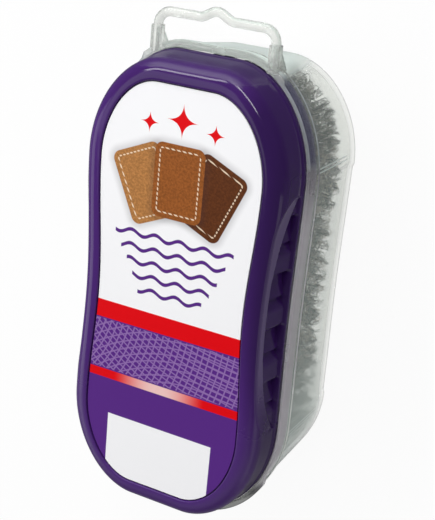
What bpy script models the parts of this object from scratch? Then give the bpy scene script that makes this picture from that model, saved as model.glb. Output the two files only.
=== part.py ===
# Shoe cleaning sponge in its hang-up tray.
# A hollow holder carries a printed label on top and a foam block inside, and a coarse fibre pad is
# bonded under the foam. The holder's plug ring sits in the rim of a see-through tray, and it pulls
# straight up out of it.
# The part lies on the flat bottom of the tray: +Z is out of the label, +Y runs to the hang loop.
# The origin is the middle of the tray's bottom face.
from math import cos, pi, sin

import bmesh
import bpy

for old in list(bpy.data.objects):
    bpy.data.objects.remove(old)

# All sizes are in millimetres until a mesh is written.
METRES_PER_MM = 0.001

# Clearance between pieces that touch
CLEARANCE = 0.3

# Outline of the holder's rim, seen from above: straight ends, round lobes and a slight waist
RIM_HALF_WIDTH = 26.75
RIM_WAIST_IN = 0.35
RIM_HALF_LENGTH = 57.6
LOBE_START = 31.5
END_FLAT = 7.4
LOBE_POWER = 1.92

# Holder shell
HOLDER_HEIGHT = 11.1
HOLDER_SIDE_DRAFT = 0.35
HOLDER_WAIST_DRAFT = 0.85
HOLDER_END_DRAFT = 1.05
SHOULDER_RADIUS = 4.1
BORDER_WIDTH = 0.75
BORDER_WAIST_EXTRA = 0.35
RIM_BAND_HEIGHT = 0.8
RIM_BAND_OUT = 0.3
PLATE_THICKNESS = 2.0
PLUG_WALL = 1.5
PLUG_WAIST_EXTRA = 1.3
PLUG_DEPTH = 4.5
PLUG_WAIST_IN = 0.6
PLUG_NOTCH_HALF_WIDTH = 17.0

# Grip pockets along each side of the holder
GRIP_COUNT = 4
GRIP_PITCH = 13.6
GRIP_MIDDLE_Y = 1.5
GRIP_DEPTH = 1.2
GRIP_HALF_LENGTH = 6.1
GRIP_HALF_HEIGHT = 3.1
GRIP_RADIAL = 3.0
GRIP_BELOW_TOP = 7.2

# Label
LABEL_GAP = 0.35
LABEL_THICKNESS = 0.3
LABEL_BELOW_BORDER = 0.3

# Foam block and fibre pad
FOAM_DEPTH = 12.9
PAD_THICKNESS = 19.6
PAD_SIDE_GAP = 0.7
PAD_EDGE_RADIUS = 2.0

# Tray
TRAY_RIM_HEIGHT = 31.1
TRAY_WALL = 1.2
LIP_WIDTH = 1.5
TRAY_FLOOR = 1.3
LIP_SHOW = 0.95
SKIRT_HEIGHT = 4.5
BEAD_HEIGHT = 0.9
BEAD_OUT = 0.35
WALL_STEP_IN = 0.15
TRAY_SIDE_DRAFT = 0.15
TRAY_END_DRAFT = 2.5
TRAY_BOTTOM_RADIUS = 4.0
PANEL_IN = 0.35
PANEL_EDGE = 0.6
FLANGE_OUT = 0.95
FLANGE_THICKNESS = 2.0
FLANGE_LOOP_HALF_WIDTH = 18.5
FLANGE_FAR_HALF_WIDTH = 24.4

# Hang loop
LOOP_BAR_DIAMETER = 2.25
LOOP_HALF_WIDTH = 15.4
LOOP_REACH = 7.0
LOOP_CORNER_RADIUS = 3.3
LOOP_BUMP_HALF_WIDTH = 4.6
LOOP_BUMP_RISE = 1.7
POST_WIDTH = 2.5
POST_REACH = 2.5
WEB_DROP = 4.6
WEB_THICKNESS = 1.4

# How finely curves are cut
LOBE_STEPS = 8
SIDE_STEPS = 4
SHOULDER_STEPS = 4
BOTTOM_STEPS = 3
BAR_SIDES = 8
CORNER_STEPS = 4
BUMP_STEPS = 6

# Heights in the tray, from its bottom face
SKIRT_BOTTOM = TRAY_RIM_HEIGHT - SKIRT_HEIGHT
BEAD_BOTTOM = SKIRT_BOTTOM - BEAD_HEIGHT
FLANGE_BOTTOM = TRAY_RIM_HEIGHT - FLANGE_THICKNESS
SEAT_HEIGHT = TRAY_RIM_HEIGHT + CLEARANCE

# Heights in the sponge head, from the seat where the holder's rim rests on the tray
PLUG_BOTTOM = -PLUG_DEPTH
LABEL_TOP = HOLDER_HEIGHT - LABEL_BELOW_BORDER
LABEL_BOTTOM = LABEL_TOP - LABEL_THICKNESS
RECESS_FLOOR = LABEL_BOTTOM - CLEARANCE
PLATE_UNDERSIDE = RECESS_FLOOR - PLATE_THICKNESS
FOAM_TOP = PLATE_UNDERSIDE - CLEARANCE
FOAM_BOTTOM = FOAM_TOP - FOAM_DEPTH
PAD_TOP = FOAM_BOTTOM - CLEARANCE
PAD_BOTTOM = PAD_TOP - PAD_THICKNESS


class Outline:
    """A plan outline that is the same on both sides and at both ends."""

    def __init__(self, half_width, half_length, waist_in=0.0, panel_in=0.0):
        self.half_width = half_width
        self.half_length = half_length
        self.waist_in = waist_in
        self.panel_in = panel_in

    def grown(self, side, end=None, waist=0.0, panel=0.0):
        """The outline moved outwards by side and end, with its waist drawn in further."""
        end = side if end is None else end
        return Outline(self.half_width + side, self.half_length + end,
                       self.waist_in + waist, self.panel_in + panel)

    def half_width_at(self, y):
        draw = 0.5 * (1 + cos(pi * y / LOBE_START))
        return self.half_width - self.waist_in * draw

    def half_length_at(self, x):
        share = max(abs(x) - END_FLAT, 0.0) / (self.half_width - END_FLAT)
        along = self.half_length - LOBE_START
        return LOBE_START + along * (1 - share ** LOBE_POWER) ** (1 / LOBE_POWER)

    def quadrant(self):
        """Points of the +X +Y quarter, from the end's corner round to the waist."""
        across = self.half_width - END_FLAT
        along = self.half_length - LOBE_START
        power = 2 / LOBE_POWER
        points = []
        for step in range(LOBE_STEPS + 1):
            angle = pi / 2 * (1 - step / LOBE_STEPS)
            x = END_FLAT + across * max(cos(angle), 0.0) ** power
            y = LOBE_START + along * max(sin(angle), 0.0) ** power
            points.append((x, y))
        panel_start = LOBE_START - PANEL_EDGE
        points.append((self.half_width_at(panel_start) - self.panel_in, panel_start))
        for step in range(1, SIDE_STEPS):
            y = panel_start * (1 - step / SIDE_STEPS)
            points.append((self.half_width_at(y) - self.panel_in, y))
        return points

    def ring(self, height):
        quarter = self.quadrant()
        middle = (self.half_width_at(0.0) - self.panel_in, 0.0)
        right = quarter + [middle] + [(x, -y) for x, y in reversed(quarter)]
        left = [(-x, -y) for x, y in right]
        return [(x, y, height) for x, y in right + left]


def with_end_flanges(ring):
    """A ring whose two ends stand out to form the loop's flange and the far end's flange."""
    moved = []
    for x, y, z in ring:
        limit = FLANGE_LOOP_HALF_WIDTH if y > 0 else FLANGE_FAR_HALF_WIDTH
        if abs(y) > LOBE_START and abs(x) < limit:
            across = max(abs(x) - END_FLAT, 0.0)
            along = abs(y) - LOBE_START
            reach = (across ** 2 + along ** 2) ** 0.5
            x += FLANGE_OUT * across / reach * (1 if x > 0 else -1)
            y += FLANGE_OUT * along / reach * (1 if y > 0 else -1)
        moved.append((x, y, z))
    return moved


def material(name, color, roughness, alpha=1.0, metallic=0.0):
    made = bpy.data.materials.new(name)
    made.use_nodes = True
    surface = made.node_tree.nodes["Principled BSDF"]
    surface.inputs["Base Color"].default_value = (*color, 1)
    surface.inputs["Roughness"].default_value = roughness
    surface.inputs["Metallic"].default_value = metallic
    surface.inputs["Alpha"].default_value = alpha
    return made


def add_object(name, bm, look=None, parent=None):
    bmesh.ops.remove_doubles(bm, verts=bm.verts, dist=1e-6)
    bmesh.ops.dissolve_degenerate(bm, edges=bm.edges, dist=1e-6)
    bmesh.ops.recalc_face_normals(bm, faces=bm.faces)
    mesh = bpy.data.meshes.new(name)
    bm.to_mesh(mesh)
    bm.free()
    mesh.shade_smooth()
    mesh.set_sharp_from_angle(angle=0.6)
    made = bpy.data.objects.new(name, mesh)
    bpy.context.scene.collection.objects.link(made)
    if look:
        made.data.materials.append(look)
    made.parent = parent
    return made


def loft(rings):
    """A closed body through rings of equal count, capped at the first and the last."""
    bm = bmesh.new()
    rows = [[bm.verts.new([c * METRES_PER_MM for c in point]) for point in ring] for ring in rings]
    for low, high in zip(rows[:-1], rows[1:]):
        for i in range(len(low)):
            j = (i + 1) % len(low)
            bm.faces.new((low[i], low[j], high[j], high[i]))
    bm.faces.new(rows[0][::-1])
    bm.faces.new(rows[-1])
    return bm


def box(low, high):
    bm = bmesh.new()
    bmesh.ops.create_cube(bm, size=1.0)
    for vert in bm.verts:
        for axis in range(3):
            edge = high[axis] if vert.co[axis] > 0 else low[axis]
            vert.co[axis] = edge * METRES_PER_MM
    return bm


def combine(target, tool, operation):
    """Adds a Boolean modifier to target, with the tool hidden and on the same parent."""
    tool.parent = target.parent
    tool.hide_render = True
    tool.display_type = "WIRE"
    modifier = target.modifiers.new(tool.name, "BOOLEAN")
    modifier.operation = operation
    modifier.solver = "EXACT"
    modifier.object = tool


rim_outline = Outline(RIM_HALF_WIDTH, RIM_HALF_LENGTH, RIM_WAIST_IN)
wall_outline = rim_outline.grown(-HOLDER_SIDE_DRAFT, -HOLDER_END_DRAFT, HOLDER_WAIST_DRAFT)
border_outline = wall_outline.grown(-SHOULDER_RADIUS)
recess_outline = border_outline.grown(-BORDER_WIDTH, waist=BORDER_WAIST_EXTRA)
label_outline = recess_outline.grown(-LABEL_GAP)
lip_outline = rim_outline.grown(LIP_SHOW)
skirt_inside = lip_outline.grown(-LIP_WIDTH)
plug_outline = skirt_inside.grown(-CLEARANCE, waist=PLUG_WAIST_IN)
holder_inside = plug_outline.grown(-PLUG_WALL, waist=PLUG_WAIST_EXTRA)
foam_outline = holder_inside.grown(-CLEARANCE)
tray_outline = lip_outline.grown(-WALL_STEP_IN, panel=PANEL_IN)
tray_foot_outline = tray_outline.grown(-TRAY_SIDE_DRAFT, -TRAY_END_DRAFT)
pad_outline = tray_foot_outline.grown(-TRAY_WALL - PAD_SIDE_GAP, panel=-PANEL_IN)


def quarter_turn(outline, radius, corner_height, steps, upward):
    """Rings round a horizontal edge of the given radius, from the face to the wall."""
    rings = []
    for step in range(steps + 1):
        angle = pi / 2 * step / steps
        inset = radius * (1 - sin(angle))
        rise = radius * (1 - cos(angle))
        height = corner_height + rise if upward else corner_height - rise
        rings.append(outline.grown(-inset).ring(height))
    return rings


def make_tray():
    rings = quarter_turn(tray_foot_outline, TRAY_BOTTOM_RADIUS, 0.0, BOTTOM_STEPS, True)
    rings.append(tray_outline.ring(BEAD_BOTTOM))
    bead = lip_outline.grown(BEAD_OUT)
    rings.append(bead.ring(BEAD_BOTTOM + BEAD_HEIGHT * 0.35))
    rings.append(bead.ring(BEAD_BOTTOM + BEAD_HEIGHT * 0.65))
    rings.append(lip_outline.ring(SKIRT_BOTTOM))
    rings.append(lip_outline.ring(FLANGE_BOTTOM))
    rings.append(with_end_flanges(lip_outline.ring(FLANGE_BOTTOM)))
    rings.append(with_end_flanges(lip_outline.ring(TRAY_RIM_HEIGHT)))
    rings.append(skirt_inside.ring(TRAY_RIM_HEIGHT))
    rings.append(skirt_inside.ring(SKIRT_BOTTOM))
    rings.append(tray_outline.grown(-TRAY_WALL).ring(BEAD_BOTTOM))
    inside = tray_foot_outline.grown(-TRAY_WALL)
    inner_radius = TRAY_BOTTOM_RADIUS - TRAY_WALL
    rings += reversed(quarter_turn(inside, inner_radius, TRAY_FLOOR, BOTTOM_STEPS, True))
    tray = add_object("cover_tray", loft(rings), clear_plastic)

    combine(tray, add_object("loop_bar", make_loop_bar()), "UNION")
    for side, word in ((-1, "left"), (1, "right")):
        combine(tray, add_object("loop_post_" + word, make_post(side)), "UNION")
        combine(tray, add_object("loop_web_" + word, make_web(side)), "UNION")


def loop_path():
    """Centre line of the hang loop's bar, from the left foot to the right foot."""
    foot = lip_outline.half_length_at(LOOP_HALF_WIDTH)
    height = lip_outline.half_length + FLANGE_OUT + LOOP_REACH - LOOP_BAR_DIAMETER / 2
    corner_x = LOOP_HALF_WIDTH - LOOP_CORNER_RADIUS
    half = [(0.0, height + LOOP_BUMP_RISE)]
    for step in range(1, BUMP_STEPS + 1):
        x = LOOP_BUMP_HALF_WIDTH * step / BUMP_STEPS
        half.append((x, height + LOOP_BUMP_RISE * 0.5 * (1 + cos(pi * x / LOOP_BUMP_HALF_WIDTH))))
    for step in range(CORNER_STEPS + 1):
        angle = pi / 2 * (1 - step / CORNER_STEPS)
        half.append((corner_x + LOOP_CORNER_RADIUS * cos(angle),
                     height - LOOP_CORNER_RADIUS * (1 - sin(angle))))
    half.append((LOOP_HALF_WIDTH, foot))
    return [(-x, y) for x, y in reversed(half[1:])] + half


def make_loop_bar():
    """A round bar swept along the loop's path, in the plane of the flange."""
    path = loop_path()
    middle = TRAY_RIM_HEIGHT - LOOP_BAR_DIAMETER / 2
    rings = []
    for i, (x, y) in enumerate(path):
        before = path[max(i - 1, 0)]
        after = path[min(i + 1, len(path) - 1)]
        run = (after[0] - before[0], after[1] - before[1])
        length = (run[0] ** 2 + run[1] ** 2) ** 0.5
        side = (-run[1] / length, run[0] / length)
        ring = []
        for step in range(BAR_SIDES):
            angle = 2 * pi * step / BAR_SIDES
            out = LOOP_BAR_DIAMETER / 2 * cos(angle)
            ring.append((x + side[0] * out, y + side[1] * out,
                         middle + LOOP_BAR_DIAMETER / 2 * sin(angle)))
        rings.append(ring)
    return loft(rings)


def make_post(side):
    """A flat post at the loop's foot, from the tray's wall out past the flange."""
    middle = side * LOOP_HALF_WIDTH
    root = lip_outline.half_length_at(LOOP_HALF_WIDTH) - TRAY_WALL
    tip = lip_outline.half_length + FLANGE_OUT + POST_REACH
    return box((middle - POST_WIDTH / 2, root, TRAY_RIM_HEIGHT - LOOP_BAR_DIAMETER),
               (middle + POST_WIDTH / 2, tip, TRAY_RIM_HEIGHT))


def make_web(side):
    """A three-cornered web under a post, down the tray's end wall."""
    root = lip_outline.half_length_at(LOOP_HALF_WIDTH) - TRAY_WALL
    tip = lip_outline.half_length + FLANGE_OUT + POST_REACH
    top = TRAY_RIM_HEIGHT - LOOP_BAR_DIAMETER / 2
    # The web's side view in Y and Z
    corners = [(root, top), (tip, top), (root, TRAY_RIM_HEIGHT - LOOP_BAR_DIAMETER - WEB_DROP)]
    left = side * LOOP_HALF_WIDTH - WEB_THICKNESS / 2
    return loft([[(left + step * WEB_THICKNESS, y, z) for y, z in corners] for step in (0, 1)])


def make_holder():
    rings = [recess_outline.ring(RECESS_FLOOR)]
    rings.append(recess_outline.ring(HOLDER_HEIGHT))
    rings += quarter_turn(wall_outline, SHOULDER_RADIUS, HOLDER_HEIGHT, SHOULDER_STEPS, False)
    rings.append(rim_outline.grown(-RIM_BAND_OUT).ring(RIM_BAND_HEIGHT + RIM_BAND_OUT))
    rings.append(rim_outline.ring(RIM_BAND_HEIGHT))
    rings.append(rim_outline.ring(0.0))
    rings.append(plug_outline.ring(0.0))
    rings.append(plug_outline.ring(PLUG_BOTTOM))
    rings.append(holder_inside.ring(PLUG_BOTTOM))
    rings.append(holder_inside.ring(PLATE_UNDERSIDE))
    holder = add_object("holder_shell", loft(rings), purple_plastic, head)

    for end, word in ((-1, "far"), (1, "loop")):
        near, far = sorted((end * LOBE_START, end * rim_outline.half_length))
        low = (-PLUG_NOTCH_HALF_WIDTH, near, PLUG_BOTTOM - CLEARANCE)
        high = (PLUG_NOTCH_HALF_WIDTH, far, 0.0)
        combine(holder, add_object("plug_notch_" + word, box(low, high)), "DIFFERENCE")
    for side, word in ((-1, "left"), (1, "right")):
        for index in range(GRIP_COUNT):
            name = f"grip_cutter_{word}_{index + 1}"
            combine(holder, add_object(name, make_grip_cutter(side, index)), "DIFFERENCE")


def make_grip_cutter(side, index):
    """An egg-shaped cutter that presses one finger pocket into the holder's side."""
    y = GRIP_MIDDLE_Y + GRIP_PITCH * (index - (GRIP_COUNT - 1) / 2)
    surface = wall_outline.half_width_at(y)
    x = side * (surface - GRIP_DEPTH + GRIP_RADIAL)
    bm = bmesh.new()
    bmesh.ops.create_uvsphere(bm, u_segments=12, v_segments=8, radius=1.0)
    for vert in bm.verts:
        vert.co.x = (vert.co.x * GRIP_RADIAL + x) * METRES_PER_MM
        vert.co.y = (vert.co.y * GRIP_HALF_LENGTH + y) * METRES_PER_MM
        vert.co.z = (vert.co.z * GRIP_HALF_HEIGHT + HOLDER_HEIGHT - GRIP_BELOW_TOP) * METRES_PER_MM
    return bm


def make_label():
    rings = [label_outline.ring(LABEL_BOTTOM), label_outline.ring(LABEL_TOP)]
    add_object("front_label", loft(rings), label_print, head)


def make_foam():
    rings = [foam_outline.ring(FOAM_BOTTOM), foam_outline.ring(FOAM_TOP)]
    add_object("foam_sponge", loft(rings), foam, head)


def make_pad():
    rings = quarter_turn(pad_outline, PAD_EDGE_RADIUS, PAD_BOTTOM, 2, True)
    rings += reversed(quarter_turn(pad_outline, PAD_EDGE_RADIUS, PAD_TOP, 2, False))
    add_object("fibre_pad", loft(rings), fibre, head)


clear_plastic = material("clear_plastic", (0.80, 0.84, 0.81), 0.35, alpha=0.4)
purple_plastic = material("purple_plastic", (0.060, 0.020, 0.115), 0.18)
label_print = material("label_print", (0.85, 0.84, 0.86), 0.25)
foam = material("foam", (0.16, 0.17, 0.16), 0.95)
fibre = material("fibre", (0.12, 0.15, 0.13), 0.9)

# The head slides along +Z from the tray's rim
head = bpy.data.objects.new("sponge_head", None)
head.location.z = SEAT_HEIGHT * METRES_PER_MM
bpy.context.scene.collection.objects.link(head)

make_tray()
make_holder()
make_label()
make_foam()
make_pad()
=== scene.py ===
import random
from math import ceil, cos, hypot, pi, radians, sin

import bmesh
import bpy
from mathutils import Matrix, Quaternion, Vector, noise


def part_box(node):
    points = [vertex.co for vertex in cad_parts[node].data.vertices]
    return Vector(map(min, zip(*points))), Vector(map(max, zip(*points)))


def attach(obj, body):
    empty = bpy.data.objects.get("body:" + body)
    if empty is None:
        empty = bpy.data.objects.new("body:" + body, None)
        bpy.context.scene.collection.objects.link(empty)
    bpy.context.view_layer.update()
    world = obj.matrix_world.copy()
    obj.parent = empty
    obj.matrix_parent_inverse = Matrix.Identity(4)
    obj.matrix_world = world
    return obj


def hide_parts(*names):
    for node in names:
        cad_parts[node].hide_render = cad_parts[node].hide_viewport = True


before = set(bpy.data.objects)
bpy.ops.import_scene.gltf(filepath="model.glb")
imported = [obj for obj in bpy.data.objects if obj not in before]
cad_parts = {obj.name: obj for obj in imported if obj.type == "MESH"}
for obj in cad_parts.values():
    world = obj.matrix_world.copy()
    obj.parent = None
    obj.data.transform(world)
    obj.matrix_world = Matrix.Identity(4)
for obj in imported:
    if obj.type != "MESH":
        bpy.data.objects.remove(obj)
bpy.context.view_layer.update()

# Lengths are in millimetres here and become metres where a vertex is placed.
mm = 0.001
mergeGap = 0.004


def boxOf(node):
    low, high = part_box(node)
    return low / mm, high / mm


trayHigh = boxOf("cover_tray")[1]
holderLow, holderHigh = boxOf("holder_shell")
labelLow, labelHigh = boxOf("front_label")
foamLow, foamHigh = boxOf("foam_sponge")
padLow, padHigh = boxOf("fibre_pad")

# The plan outline is shared by every piece.
plan = {
    "lobeStart": 31.5,
    "endFlat": 7.4,
    "lobePower": 1.92,
    "panelFade": 0.8,
    "flatSteps": 8,
    "lobeSteps": 36,
    "sideSteps": 88,
}


class Outline:
    # half sizes of one level; waist is how far its sides draw in, panel how far the flat sides step in
    def __init__(self, halfWidth, halfLength, waist=0.0, panel=0.0):
        self.halfWidth = halfWidth
        self.halfLength = halfLength
        self.waist = waist
        self.panel = panel

    def grown(self, side, end=None, waist=0.0, panel=0.0):
        end = side if end is None else end
        return Outline(self.halfWidth + side, self.halfLength + end, self.waist + waist,
                       self.panel + panel)

    def sideAt(self, y):
        drawn = self.halfWidth - self.waist * 0.5 * (1 + cos(pi * y / plan["lobeStart"]))
        return drawn - self.panel * smooth((plan["lobeStart"] - abs(y)) / plan["panelFade"])

    def endAt(self, x):
        share = (x - plan["endFlat"]) / (self.halfWidth - plan["endFlat"])
        along = self.halfLength - plan["lobeStart"]
        return plan["lobeStart"] + along * (1 - share ** plan["lobePower"]) ** (1 / plan["lobePower"])

    def point(self, station, z):
        sideX, sideY, kind, value = station
        if kind == "flat":
            x, y = value, self.halfLength
        elif kind == "lobe":
            power = 2 / plan["lobePower"]
            across = self.halfWidth - plan["endFlat"]
            x = plan["endFlat"] + across * max(cos(value), 0) ** power
            y = plan["lobeStart"] + (self.halfLength - plan["lobeStart"]) * max(sin(value), 0) ** power
        else:
            x, y = self.sideAt(value), value
        return Vector((sideX * x, sideY * y, z))


def smooth(share):
    share = min(max(share, 0), 1)
    return share * share * (3 - 2 * share)


def makeStations():
    flat, lobe, side = plan["flatSteps"], plan["lobeSteps"], plan["sideSteps"]
    quarter = [("flat", plan["endFlat"] * i / flat) for i in range(flat)]
    quarter += [("lobe", pi / 2 * (1 - i / lobe)) for i in range(lobe)]
    quarter += [("side", plan["lobeStart"] * (1 - i / side)) for i in range(side)]
    waist = [("side", 0.0)]
    right = [(1, 1, *s) for s in quarter + waist] + [(1, -1, *s) for s in quarter[::-1]]
    left = [(-1, -1, *s) for s in quarter[1:] + waist] + [(-1, 1, *s) for s in quarter[:0:-1]]
    return right + left


stations = makeStations()


def sweep(rings, marks=stations):
    # one loop of vertices is extruded from ring to ring; a ring gives the place of each mark
    bm = bmesh.new()
    tag = bm.verts.layers.int.new("mark")
    verts = bmesh.ops.create_circle(bm, segments=len(marks), radius=1)["verts"]
    for index, vert in enumerate(verts):
        vert[tag] = index
    firstEdges = edges = bm.edges[:]
    for number, ring in enumerate(rings):
        if number:
            grown = bmesh.ops.extrude_edge_only(bm, edges=edges)["geom"]
            verts = [v for v in grown if isinstance(v, bmesh.types.BMVert)]
            edges = [e for e in grown if isinstance(e, bmesh.types.BMEdge) and len(e.link_faces) == 1]
        for vert in verts:
            vert.co = ring(marks[vert[tag]]) * mm
    for end in (firstEdges, edges):
        bmesh.ops.contextual_create(bm, geom=end)
    bmesh.ops.remove_doubles(bm, verts=bm.verts, dist=mergeGap * mm)
    bmesh.ops.recalc_face_normals(bm, faces=bm.faces)
    return bm


def level(outline, z):
    return lambda station: outline.point(station, z)


def roundEdge(outline, radius, z, steps, rising):
    # rings round a horizontal edge, from the face out to the wall
    rings = []
    for step in range(steps + 1):
        angle = pi / 2 * step / steps
        drop = radius * (1 - cos(angle))
        rings.append(level(outline.grown(-radius * (1 - sin(angle))), z + drop if rising else z - drop))
    return rings


def addObject(name, data):
    made = bpy.data.objects.new(name, data)
    bpy.context.scene.collection.objects.link(made)
    return made


def addPiece(name, bm, finish, sharp=40):
    mesh = bpy.data.meshes.new(name)
    bm.to_mesh(mesh)
    bm.free()
    mesh.shade_smooth()
    mesh.set_sharp_from_angle(angle=radians(sharp))
    mesh.materials.append(finish)
    return addObject(name, mesh)


def place(piece, body, node):
    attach(piece, body)
    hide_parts(node)


def tint(code):
    # a written screen colour as the shader's linear one
    parts = [int(code[i:i + 2], 16) / 255 for i in (1, 3, 5)]
    return tuple(c / 12.92 if c <= 0.04045 else ((c + 0.055) / 1.055) ** 2.4 for c in parts) + (1,)


class Wire:
    # one output socket, so that shader maths reads as plain sums
    def __init__(self, graph, socket):
        self.graph = graph
        self.socket = socket

    def math(self, operation, *values):
        return self.graph.node("Math", {"operation": operation}, dict(enumerate(values)))

    def __add__(self, other):
        return self.math("ADD", self, other)

    def __radd__(self, other):
        return self.math("ADD", other, self)

    def __sub__(self, other):
        return self.math("SUBTRACT", self, other)

    def __rsub__(self, other):
        return self.math("SUBTRACT", other, self)

    def __mul__(self, other):
        return self.math("MULTIPLY", self, other)

    def __rmul__(self, other):
        return self.math("MULTIPLY", other, self)

    def __truediv__(self, other):
        return self.math("DIVIDE", self, other)

    def __pow__(self, other):
        return self.math("POWER", self, other)

    def __abs__(self):
        return self.math("ABSOLUTE", self)

    def over(self, other):
        return self.math("MAXIMUM", self, other)

    def under(self, other):
        return self.math("MINIMUM", self, other)

    def wave(self):
        return self.math("SINE", self)

    def part(self):
        return self.math("FRACT", self)


class Graph:
    # the node tree of a material or of the world
    def __init__(self, tree):
        self.tree = tree

    def node(self, kind, settings, sockets, output=0):
        made = self.tree.nodes.new("ShaderNode" + kind)
        for key, value in settings.items():
            setattr(made, key, value)
        for key, value in sockets.items():
            if isinstance(value, Wire):
                self.tree.links.new(value.socket, made.inputs[key])
            else:
                made.inputs[key].default_value = value
        return Wire(self, made.outputs[output])

    def ray(self, kind):
        return self.node("LightPath", {}, {}, output=f"Is {kind} Ray")


class Finish(Graph):
    def __init__(self, name, constants):
        self.material = bpy.data.materials.new(name)
        self.material.use_nodes = True
        super().__init__(self.material.node_tree)
        self.shader = self.tree.nodes["Principled BSDF"]
        self.own = Wire(self, self.shader.outputs[0])
        for socket, value in constants.items():
            self.shader.inputs[socket].default_value = value

    def feed(self, socket, wire):
        self.tree.links.new(wire.socket, self.shader.inputs[socket])

    def show(self, surface):
        self.tree.links.new(surface.socket, self.tree.nodes["Material Output"].inputs[0])

    def place(self):
        # object coordinates in millimetres
        spot = self.node("TexCoord", {}, {}, output=3)
        return self.node("VectorMath", {"operation": "SCALE"}, {0: spot, 3: 1 / mm})

    def split(self, vector):
        return [self.node("SeparateXYZ", {}, {0: vector}, output=i) for i in range(3)]

    def noise(self, vector, size, detail=3, rough=0.5):
        return self.node("TexNoise", {}, {"Vector": vector, "Scale": 1 / size, "Detail": detail,
                                          "Roughness": rough})

    def mix(self, share, low, high):
        return self.node("Mix", {"data_type": "RGBA"}, {0: share, 6: low, 7: high}, output=2)

    def cover(self, share, under, over):
        return self.node("MixShader", {}, {0: share, 1: under, 2: over})

    def limits(self, value, low, high, newLow=0.0, newHigh=1.0):
        return self.node("MapRange", {"interpolation_type": "SMOOTHSTEP"},
                         {0: value, 1: low, 2: high, 3: newLow, 4: newHigh})

    def bump(self, height, distance):
        self.feed("Normal", self.node("Bump", {}, {"Strength": 1.0, "Distance": distance * mm,
                                                   "Height": height}))


clearLook = {
    "color": "#eef1e9",
    "roughness": 0.06,
    "see": 0.95,
    "bend": 1.04,
    "coat": 0.9,
    "haze": 16.0,
    "body": 0.36,
    "endBody": 0.4,
    "skirtBody": 0.2,
    "skirtRough": 0.1,
    "veilColor": "#dbe6e2",
    "veil": 0.02,
    "farVeil": 0.44,
    "endVeil": 0.78,
    "skirtVeil": 0.36,
    "skirtFoot": 26.8,
    "lobeVeil": 0.35,
    "lobeColor": "#505170",
    "beadVeil": 0.0,
    "farBeadHighlight": 0.6,
    "farRimShadeShare": 0.5,
    "farRimShadeColor": "#3d3b42",
    "creaseHighlight": 0.6,
}
milkyLook = {
    "color": "#f4f6f2",
    "roughness": 0.2,
    "see": 0.88,
    "bend": 1.42,
    "coat": 0.8,
    "haze": 9.0,
    "body": 0.85,
    "endBody": 0.05,
    "skirtBody": 0.05,
    "skirtRough": 0.0,
    "veilColor": "#eef0ec",
    "veil": 0.06,
    "farVeil": 0.1,
    "endVeil": 0.06,
    "skirtVeil": 0.32,
    "skirtFoot": 25.5,
    "lobeVeil": 0.4,
    "lobeColor": "#b0b7bd",
    "beadVeil": 0.35,
    "farBeadHighlight": 0.6,
    "farRimShadeShare": 0.7,
    "farRimShadeColor": "#3f4043",
    "creaseHighlight": 0.0,
}
plasticLook = {
    "mostBody": 0.95,
    "coatRough": 0.06,
    "skirtCoat": 0.7,
    "hazeRough": 0.08,
    "skirtFade": 0.2,
    "farSkirt": 0.35,
    "creaseAt": 34.2,
    "creaseApart": 0.45,
    "lilac": "#938f98",
    "paleLilac": "#dcd6df",
    "milkRough": 0.3,
    "milkBend": 1.45,
    "milkShine": 0.3,
}
# where each part of the look starts and is full, then the values there if they aren't 0 and 1
plasticZones = {
    "end": (53.6, 56.6),
    "loopEnd": (-1.0, 1.0, 0.1, 1.0),
    "coat": (0.5, 5.0, 0.25, 1.0),
    "haze": (0.35, 0.7),
    "waistLoop": (37.0, 35.0),
    "waistFar": (-53.0, -49.0),
    "bead": (27.2, 26.8),
    "farHalf": (-12.0, -30.0),
    "lobeTip": (57.0, 53.0),
    "lobeRoot": (33.0, 35.0),
    "creaseEdge": (0.26, 0.14),
    "creaseTop": (25.8, 25.6),
    "creaseSide": (26.2, 26.5),
    "creaseFoot": (7.0, 10.0),
    "rimTop": (30.5, 30.9),
    "rimFar": (-42.0, -50.0),
    "wallLoop": (55.0, 10.0, 0.12, 0.4),
    "wallFar": (-8.0, -38.0, 0.0, 0.6),
    "wallEnd": (-46.0, -55.0, 1.0, 0.4),
    "wallFoot": (3.0, 8.0),
    "lilac": (36.0, 20.0),
}


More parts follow.
